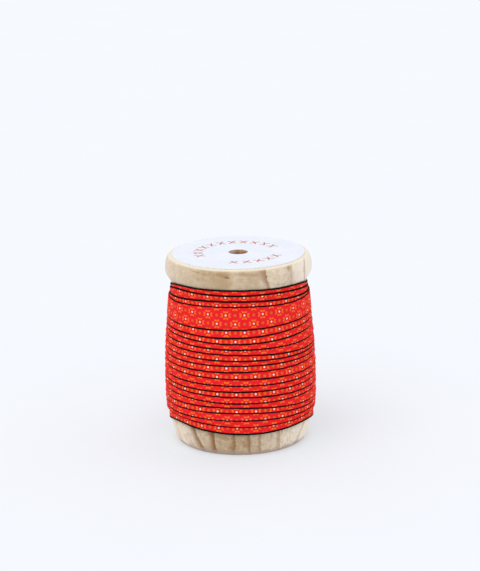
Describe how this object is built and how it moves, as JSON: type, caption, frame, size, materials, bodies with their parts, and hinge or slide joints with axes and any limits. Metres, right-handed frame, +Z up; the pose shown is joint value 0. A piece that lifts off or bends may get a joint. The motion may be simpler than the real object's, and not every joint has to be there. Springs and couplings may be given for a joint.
{
  "type": "roll of bias tape on a wooden spool",
  "caption": "Narrow folded bias tape with a small dotted print, wound in lapping turns on a turned wooden spool with a through bore and a round paper label on top.",
  "frame": {"origin": "centre of the spool's base, on the axis of the bore", "axes": "+Z up along the spool's axis, -Y towards the viewer, +X to the viewer's right"},
  "size_m": [0.0522, 0.0522, 0.0659],
  "materials": {
    "wood": "turned pale wood, lightly waxed",
    "paper": "matt printed paper",
    "tape": "plain woven cotton with a small dotted print"
  },
  "bodies": {
    "root": {"spool": "wood", "paper_label": "paper", "tape_winding": "tape"}
  },
  "joints": []
}
